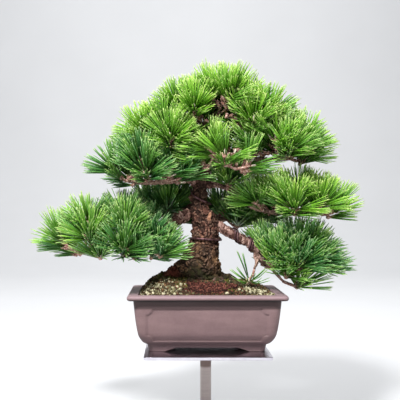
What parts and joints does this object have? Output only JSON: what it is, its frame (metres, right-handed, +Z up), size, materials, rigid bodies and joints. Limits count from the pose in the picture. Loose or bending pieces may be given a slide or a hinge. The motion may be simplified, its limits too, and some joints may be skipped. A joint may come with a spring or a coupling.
{
  "type": "japanese black pine bonsai",
  "caption": "Small black pine tree with a stout rough trunk and layered pads of long stiff needles, in a rectangular unglazed clay pot that stands on a slim metal display stand.",
  "frame": {"origin": "centre of the underside of the stand's foot", "axes": "+Z up, -Y towards the front of the tree, +X to the right when seen from the front"},
  "size_m": [0.45, 0.2285, 0.4968],
  "materials": {
    "stand_steel": "polished, with a dark mirror-like top",
    "stand_post_metal": "satin, a little warm",
    "unglazed_clay": "matt, unglazed, mauve-brown",
    "screen_plastic": "matt black mesh",
    "soil_grains": "loose dry grains of pumice, fired clay and dark soil",
    "red_grit": "fine red-brown grit",
    "bark": "rough flaking bark",
    "needles": "green pine needles, slightly glossy, on pale brown twigs",
    "training_wire": "dull brown anodised"
  },
  "bodies": {
    "root": {"drain_screen_left": "screen_plastic", "drain_screen_right": "screen_plastic", "pot": "unglazed_clay", "red_grit_patch": "red_grit", "soil": "soil_grains", "spray_back_left_1": "needles", "spray_back_left_2": "needles", "spray_back_right_1": "needles", "spray_back_right_2": "needles", "spray_back_up_1": "needles", "spray_back_up_2": "needles", "spray_back_up_3": "needles", "spray_crown_1": "needles", "spray_crown_2": "needles", "spray_crown_3": "needles", "spray_crown_left_1": "needles", "spray_crown_left_2": "needles", "spray_crown_right_1": "needles", "spray_crown_right_2": "needles", "spray_crown_right_3": "needles", "spray_front_up_1": "needles", "spray_front_up_2": "needles", "spray_left_low_1": "needles", "spray_left_low_2": "needles", "spray_left_low_3": "needles", "spray_left_low_4": "needles", "spray_left_low_5": "needles", "spray_left_mid_1": "needles", "spray_left_mid_2": "needles", "spray_left_mid_3": "needles", "spray_left_mid_4": "needles", "spray_left_up_1": "needles", "spray_left_up_2": "needles", "spray_left_up_3": "needles", "spray_low_shoot_1": "needles", "spray_right_low_1": "needles", "spray_right_low_2": "needles", "spray_right_low_3": "needles", "spray_right_low_4": "needles", "spray_right_mid_1": "needles", "spray_right_mid_2": "needles", "spray_right_mid_3": "needles", "spray_right_mid_4": "needles", "spray_right_up_1": "needles", "spray_right_up_2": "needles", "spray_right_up_3": "needles", "spray_right_up_4": "needles", "stand_foot": "stand_steel", "stand_plate": "stand_steel", "stand_post": "stand_post_metal", "wire_branch_far": "training_wire", "wire_branch_near": "training_wire", "wire_trunk_high": "training_wire", "wire_trunk_low": "training_wire", "wood": "bark"}
  },
  "joints": []
}
